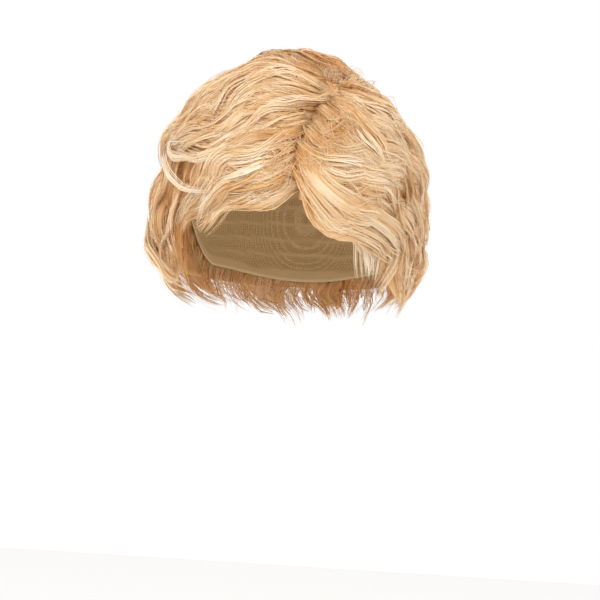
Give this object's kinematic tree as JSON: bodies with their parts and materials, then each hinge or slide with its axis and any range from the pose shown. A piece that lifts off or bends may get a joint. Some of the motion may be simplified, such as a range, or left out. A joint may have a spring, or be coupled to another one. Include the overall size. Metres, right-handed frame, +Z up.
{
  "type": "short wig",
  "caption": "Short wavy wig: an open stretch cap with layered hair in six sections, parted off centre, with a swept fringe and side locks.",
  "frame": {"origin": "top of the head, where the inside of the cap rests on it", "axes": "+Z up, the face of the wearer looks along -Y, and the wearer's left is +X"},
  "size_m": [0.2055, 0.2329, 0.1999],
  "materials": {
    "cap_net": "beige elastic net with rows of sewn weft tape",
    "hair_fibre": "glossy golden blond synthetic fibre in soft waves"
  },
  "bodies": {
    "root": {"cap": "cap_net", "fringe_left": "hair_fibre", "fringe_right": "hair_fibre", "hair_crown": "hair_fibre", "hair_side_left": "hair_fibre", "hair_side_right": "hair_fibre", "hair_back": "hair_fibre"}
  },
  "joints": []
}
